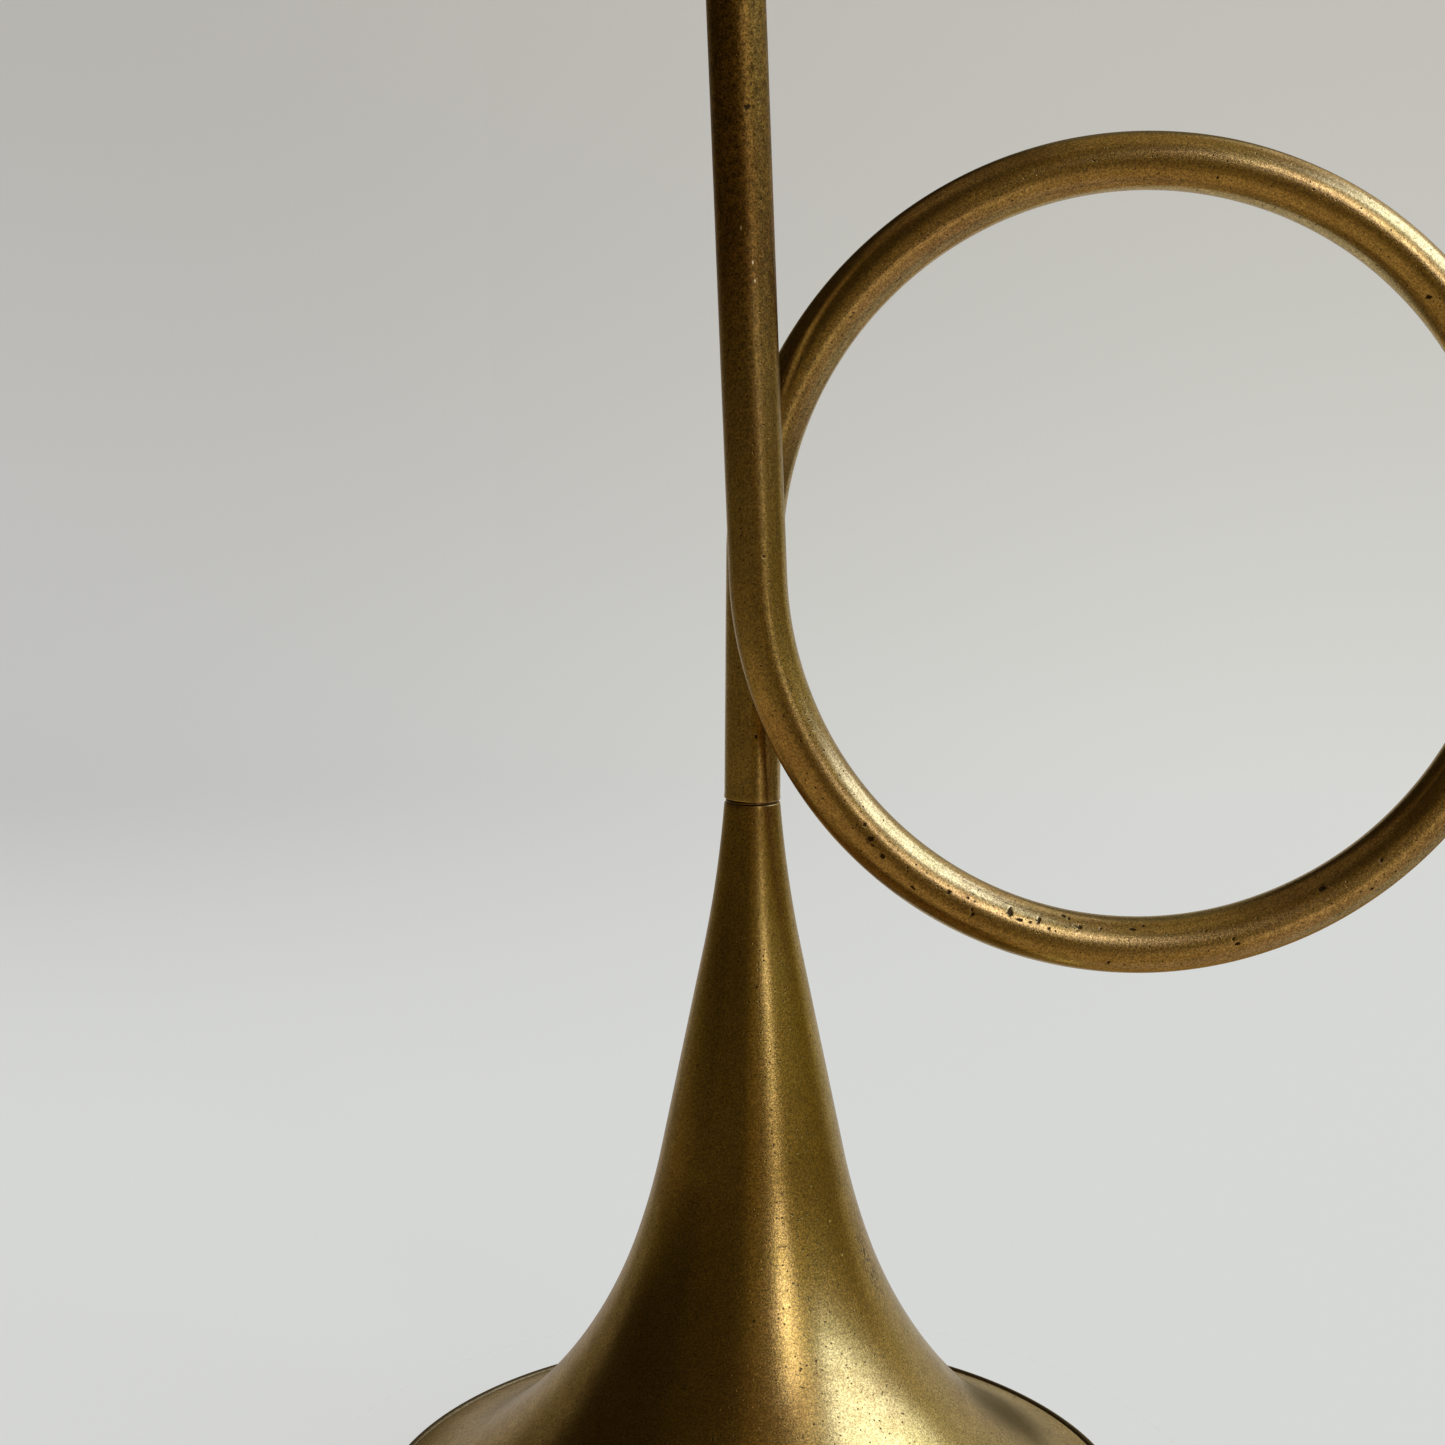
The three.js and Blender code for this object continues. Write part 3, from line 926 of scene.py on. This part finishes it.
def make_ferrule(material):
    """A sleeve over the joint, with a bead and a ring at each end."""
    half = FERRULE_LENGTH / 2
    bore = TUBE_R + GAP
    bead_r = FERRULE_R + FERRULE_BEAD
    groove_r = FERRULE_R - 0.2 * MM
    ring_r = FERRULE_R + 0.25 * MM
    lower = [
        (bore, -half),
        (bead_r, -half, 0.6 * MM),
        (bead_r, -half + 1.5 * MM, 0.7 * MM),
        (groove_r, -half + 1.9 * MM),
        (groove_r, -half + 2.5 * MM),
        (ring_r, -half + 2.7 * MM, 0.4 * MM),
        (ring_r, -half + 3.9 * MM, 0.4 * MM),
        (FERRULE_R, -half + 4.2 * MM),
    ]
    outline = rounded(lower + mirrored(lower), EDGE_ROUNDING)
    ferrule = turned("ringed_ferrule", outline, MOUTH_SIDES, MOUTH_PLACE)
    return install(ferrule, "coil", "mouthpipe_ferrule", material)


def make_mouthpipe(material):
    """A tube that tapers between two straight ends."""
    taper_end = MOUTHPIPE_LENGTH - MOUTHPIPE_STRAIGHT
    outer = [
        (TUBE_R, GAP, EDGE_ROUNDING),
        (TUBE_R, MOUTHPIPE_STRAIGHT, 9 * MM),
        (MOUTHPIPE_TIP_R, taper_end - 4 * MM, 9 * MM),
        (MOUTHPIPE_TIP_R, MOUTHPIPE_LENGTH, EDGE_ROUNDING),
    ]
    inner = [(r - MOUTHPIPE_WALL, z, own) for r, z, own in reversed(outer)]
    pipe = turned("tapered_mouthpipe", rounded(outer + inner, EDGE_ROUNDING), MOUTH_SIDES, MOUTH_PLACE)
    return install(pipe, "coil", "mouthpipe", material)


def make_receiver(material):
    """A sleeve on the mouthpipe's tip, with a pocket for the tip and a seat for the shank."""
    end = RECEIVER_START + RECEIVER_LENGTH
    pocket = MOUTHPIPE_TIP_R + GAP
    step = MOUTHPIPE_LENGTH + GAP
    ring = 4 * MM
    ring_r = RECEIVER_R + MM
    groove_r = RECEIVER_R - 0.35 * MM
    outline = [
        (pocket, RECEIVER_START),
        (RECEIVER_R - 0.7 * MM, RECEIVER_START),
        (RECEIVER_R, RECEIVER_START + 2.2 * MM, 1.2 * MM),
        (RECEIVER_R, RECEIVER_START + 10 * MM, 0.3 * MM),
        (groove_r, RECEIVER_START + 10.5 * MM),
        (groove_r, RECEIVER_START + 11.2 * MM),
        (RECEIVER_R, RECEIVER_START + 11.7 * MM, 0.3 * MM),
        (RECEIVER_R, end - ring - 1.4 * MM, 0.8 * MM),
        (ring_r, end - ring, 0.8 * MM),
        (ring_r, end, 0.7 * MM),
        (RECEIVER_BORE_R, end, 0.4 * MM),
        (RECEIVER_BORE_R, step),
        (pocket, step),
    ]
    receiver = turned("shank_receiver", rounded(outline, EDGE_ROUNDING), place=MOUTH_PLACE)
    return install(receiver, "coil", "mouthpiece_receiver", material)


def make_mouthpiece(material):
    """Funnel mouthpiece: shank, turned bead, cup with a rounded rim, and a bore right through."""
    start = MOUTHPIECE_START
    seat = RECEIVER_START + RECEIVER_LENGTH
    top = seat + CUP_HEIGHT
    shank_r = RECEIVER_BORE_R - GAP
    bead_r = 6.0 * MM
    outline = [
        (shank_r - 0.8 * MM, start),
        (shank_r, seat, 2 * MM),
        (4.9 * MM, seat + 6 * MM, 0.6 * MM),
        (bead_r, seat + 6.8 * MM, 0.5 * MM),
        (bead_r, seat + 8.4 * MM, 0.5 * MM),
        (5.3 * MM, seat + 9.2 * MM, 0.5 * MM),
        (7.0 * MM, seat + 16 * MM, 5 * MM),
        (10.7 * MM, seat + 27 * MM, 6 * MM),
        (11.3 * MM, seat + 37.2 * MM, 1.2 * MM),
        (MOUTHPIECE_RIM_R, seat + 39.4 * MM, 1.2 * MM),
        (MOUTHPIECE_RIM_R, seat + 42 * MM, 1.6 * MM),
        (MOUTHPIECE_RIM_R - 2 * MM, top, 1.6 * MM),
        (CUP_R + 1.2 * MM, top, MM),
        (CUP_R, top - 2 * MM, 1.5 * MM),
        (CUP_R - 0.9 * MM, top - 9 * MM, 3 * MM),
        (CUP_R - 3.2 * MM, top - 18 * MM, 4 * MM),
        (THROAT_BORE_R, top - CUP_DEPTH, 4 * MM),
        (THROAT_BORE_R + 0.3 * MM, start),
    ]
    mouthpiece = turned("cup_mouthpiece", rounded(outline, EDGE_ROUNDING), MOUTH_SIDES, MOUTH_PLACE)
    return install(mouthpiece, "mouthpiece", "mouthpiece", material)


# --- Materials ------------------------------------------------------------------------------

# The bare gold of each brass, and the olive and the umber film that lie over it in patches
TUBE_FILMS = (0.475, 0.345, 0.16, 1), (0.345, 0.26, 0.098, 1), (0.315, 0.205, 0.09, 1)
BELL_FILMS = (0.49, 0.35, 0.135, 1), (0.355, 0.265, 0.075, 1), (0.33, 0.21, 0.07, 1)
WORN_FILMS = (0.6, 0.42, 0.17, 1), TUBE_FILMS[0], TUBE_FILMS[2]
# The rim bead's colours are far darker than the bell's: aged brass, darkened further with painted shade
# along the bell's foot
RIM_SHADED_FILMS = (0.19, 0.145, 0.08, 1), (0.16, 0.12, 0.06, 1), (0.13, 0.095, 0.05, 1)
# Dark brass for the hidden joint pieces and the brace; on the seam washer its darkness is painted shade
# for the gap in the seam
DARK_AND_SEAM_SHADE_FILMS = (0.3, 0.2, 0.08, 1), (0.12, 0.09, 0.045, 1), (0.1, 0.06, 0.03, 1)
RUBBED_COLOR = (0.72, 0.54, 0.25, 1)
BURNT_TINT = (0.46, 0.38, 0.22)
SPECK_COLOR = (0.045, 0.028, 0.012, 1)
NICK_COLOR = (0.95, 0.85, 0.62, 1)
# Of the reflection where the surface is seen at a slant
GRAZING_TINT = (0.82, 0.77, 0.70, 1)

# Heights of the relief, for each of the patterns that give it
GRAIN_RELIEF = 0.012 * MM
SAND_RELIEF = 0.018 * MM
BRUSHED_RELIEF = 0.02 * MM
RIPPLE_RELIEF = 0.015 * MM
HOLLOW_RELIEF = 0.06 * MM

# How brushed marks are drawn out: along the piece, or round it
LENGTHWISE = (1.0, 1.0, 0.05)
ROUND_AND_ROUND = (0.05, 0.05, 1.0)

# Small marks on the bell: angle, height, half width round the bell and half length, in degrees
# and millimetres
BELL_DARK_NICKS = (
    (-77.3, 110.7, 2.1, 0.2), (-87.9, 198.2, 0.6, 0.55), (-78.5, 144.6, 0.45, 0.45),
    (-92.0, 87.9, 0.6, 0.6), (-68.7, 74.5, 0.55, 0.55), (-68.5, 138.0, 0.4, 0.4),
    (135.6, 6.3, 1.1, 1.6),
)
BELL_BRIGHT_NICKS = ((-45.8, 115.7, 0.5, 0.5), (-42.5, 103.6, 0.6, 0.5))


def bell_nicks():
    """The marks on the bell as places in its straightened-out flow, in millimetres."""
    outside = bell_outside()

    def placed(angle, height, half_width, half_length):
        along = 0.0
        for (r0, z0), (r1, z1) in zip(outside, outside[1:]):
            length = math.hypot(r1 - r0, z1 - z0)
            if z1 <= height * MM:
                break
            along += length
        share = (z0 - height * MM) / (z0 - z1)
        r = (r0 + (r1 - r0) * share) / MM
        a = math.radians(angle)
        place = (r * math.cos(a), r * math.sin(a), (along + share * length) / MM)
        return place, half_width, half_length

    return [placed(*nick) for nick in BELL_DARK_NICKS], [placed(*nick) for nick in BELL_BRIGHT_NICKS]


# The dark marks on the tube, of which there are none, and the bright ones on its top run: place
# in the straightened-out flow, half width and half length, in millimetres
TUBE_NICKS = (), (
    ((-1.7, 9.8, 1041.6), 0.3, 0.9), ((1.8, 9.8, 1030.4), 0.3, 0.8), ((2.3, 9.7, 1024.5), 0.3, 0.7),
)


def specks(tree, place, size, share, radius):
    """Round spots of about `radius`, in a `share` of the cells, which are `size` across."""
    values = {"Vector": place, "Scale": 1 / size, "Randomness": 1.0}
    cells = tree.add("ShaderNodeTexVoronoi", values).node
    picked = tree.add("ShaderNodeSeparateColor", {0: cells.outputs["Color"]})
    picked = tree.steps(picked, 1 - share, 1 - share * 0.7)
    near = tree.steps(cells.outputs["Distance"], radius / size * 0.6, radius / size * 1.3, 1.0, 0.0)
    return tree.math("MULTIPLY", picked, near)


def nick_mask(tree, place, nicks):
    """1 inside the small marks: each a place in millimetres, a half width and a half length."""
    mask = 0.0
    for centre, half_width, half_length in nicks:
        offset = tree.add("ShaderNodeVectorMath", {0: place, 1: centre}, operation="SUBTRACT")
        offset = tree.scaled(offset, (1 / half_width, 1 / half_width, 1 / half_length))
        reach = tree.add("ShaderNodeVectorMath", {0: offset}, out="Value", operation="LENGTH")
        mask = tree.math("MAXIMUM", mask, tree.steps(reach, 0.5, 1.2, 1.0, 0.0))
    return mask


def film_color(t, patterns, films, patina, sandy):
    """Bare gold under patches of film, darker and lighter with the grain, without marks."""
    gold, olive, umber = films
    film = t.mix(t.steps(patterns["drift"], 0.38, 0.62), olive, umber)
    cover = t.steps(patterns["thick"], 0.48 - 0.3 * patina, 0.92 - 0.3 * patina)
    color = t.mix(cover, gold, film)
    color = t.tinted(color, t.steps(patterns["grain"], 0.3, 0.7, 0.9, 1.1))
    color = t.tinted(color, t.steps(patterns["sand"], 0.3, 0.7, 1 - sandy, 1 + sandy))
    return t.tinted(color, t.steps(patterns["brushed"], 0.25, 0.75, 0.93, 1.07))


def burnt_color(t, patterns, color):
    """The colour where the brass is fully tarnished."""
    burnt = t.scaled(color, BURNT_TINT)
    burnt = t.tinted(burnt, t.steps(patterns["mottle"], 0.35, 0.65, 0.65, 1.35))
    return t.tinted(burnt, t.steps(patterns["sand"], 0.3, 0.7, 0.75, 1.25))


def relief(t, patterns, hollow):
    """The fine relief of the surface, one layer over another. `hollow` is 0 in specks and holes."""
    layers = (
        (GRAIN_RELIEF, patterns["grain"]), (SAND_RELIEF, patterns["sand"]),
        (BRUSHED_RELIEF, patterns["brushed"]), (RIPPLE_RELIEF, patterns["ripple"]),
        (HOLLOW_RELIEF, hollow),
    )
    below = {}
    for height, pattern in layers:
        bump = t.add("ShaderNodeBump", {"Distance": height, "Height": pattern, **below})
        below = {"Normal": bump}
    return bump


def brass(name, films, roughness, patina, marks, speck_share=0.3, nicks=((), ()), sandy=0.4):
    """Aged brass. `patina` is how much of the gold the film covers, and `marks` is the way that
    the brushed marks run. `nicks` are the dark marks and the bright ones, and `sandy` is the
    contrast of the finest grain."""
    material = bpy.data.materials.new(name)
    t = Tree(material)
    flow = t.add("ShaderNodeAttribute", out=1, attribute_name="flow")
    wear, pit, tarnish, porous = (
        t.add("ShaderNodeAttribute", out=2, attribute_name=key)
        for key in ("wear", "pit", "tarnish", "porous")
    )
    place = t.scaled(flow, (1 / MM, 1 / MM, 1 / MM))

    # Each pattern by its scale for 1 mm, its detail and its roughness
    cloud = t.noise(place, 0.09, 4, 0.6)
    mottle = t.noise(place, 0.42, 4, 0.65)
    patterns = {
        "drift": t.noise(place, 0.016, 3, 0.5),
        "mottle": mottle,
        "thick": t.math("ADD", t.math("MULTIPLY", cloud, 0.5), t.math("MULTIPLY", mottle, 0.5)),
        "grain": t.noise(place, 1.0, 2, 0.8),
        "sand": t.noise(place, 1.5, 2, 0.75),
        "brushed": t.noise(t.scaled(place, marks), 1.3, 3, 0.6),
        "ripple": t.noise(t.scaled(place, (0.3, 0.3, 1.0)), 0.8, 2, 0.5),
    }
    color = film_color(t, patterns, films, patina, sandy)
    color = t.mix(tarnish, color, burnt_color(t, patterns, color))
    bright = t.mix(0.4, films[0], RUBBED_COLOR)
    color = t.mix(t.math("MULTIPLY", wear, 0.7), color, bright)

    fine = specks(t, place, 1.8, speck_share, 0.34)
    coarse = specks(t, place, 5.0, speck_share * 0.6, 0.42)
    spots = t.math("MAXIMUM", fine, coarse)
    holes = t.noise(t.scaled(place, (1.0, 1.0, 0.35)), 0.9, 2, 0.6)
    holes = t.math("MULTIPLY", t.steps(holes, 0.52, 0.60), porous)
    dark = t.math("MAXIMUM", t.math("MULTIPLY", spots, 0.92), t.steps(pit, 0.06, 0.5))
    dark = t.math("MAXIMUM", dark, holes)
    dark_nicks, bright_nicks = nicks
    if dark_nicks:
        dark = t.math("MAXIMUM", dark, nick_mask(t, place, dark_nicks))
    color = t.mix(dark, color, SPECK_COLOR)
    if bright_nicks:
        color = t.mix(nick_mask(t, place, bright_nicks), color, NICK_COLOR)

    rough = t.steps(patterns["thick"], 0.35, 0.65, roughness - 0.01, roughness + 0.02)
    rough = t.math("ADD", rough, t.math("MULTIPLY", pit, 0.2))
    rough = t.math("SUBTRACT", rough, t.math("MULTIPLY", wear, 0.04))
    rough = t.math("ADD", rough, t.math("MULTIPLY", tarnish, 0.14))
    hollow = t.math("SUBTRACT", 1.0, t.math("MAXIMUM", spots, holes))
    t.finish(t.add("ShaderNodeBsdfPrincipled", {
        "Base Color": color, "Metallic": 1.0, "Roughness": rough,
        "Normal": relief(t, patterns, hollow), "Specular Tint": GRAZING_TINT,
    }))
    return material


# --- Build ----------------------------------------------------------------------------------

make_camera()
make_world()
make_stage()

tube_brass = brass("aged_brass_tube", TUBE_FILMS, 0.245, 0.6, LENGTHWISE, 0.3, TUBE_NICKS, 0.42)
bell_brass = brass("aged_brass_bell", BELL_FILMS, 0.25, 0.6, LENGTHWISE, 0.45, bell_nicks())
turned_brass = brass("aged_brass_turned", TUBE_FILMS, 0.28, 0.5, ROUND_AND_ROUND, 0.12)
worn_brass = brass("worn_brass", WORN_FILMS, 0.24, 0.3, ROUND_AND_ROUND, 0.15)
rim_shaded_brass = brass("aged_and_shaded_brass_rim", RIM_SHADED_FILMS, 0.42, 0.8, ROUND_AND_ROUND)
dark_brass = brass("dark_brass", DARK_AND_SEAM_SHADE_FILMS, 0.4, 0.8, ROUND_AND_ROUND)

make_bell(bell_brass)
make_rim(rim_shaded_brass)
make_socket(dark_brass)
make_washer(dark_brass)
make_nipple(dark_brass)
make_bush(dark_brass)
make_tube(tube_brass)
make_brace(dark_brass)
make_ferrule(worn_brass)
make_mouthpipe(turned_brass)
make_receiver(worn_brass)
make_mouthpiece(worn_brass)

bpy.context.scene.view_settings.view_transform = "Standard"
bpy.context.scene.view_settings.look = "None"
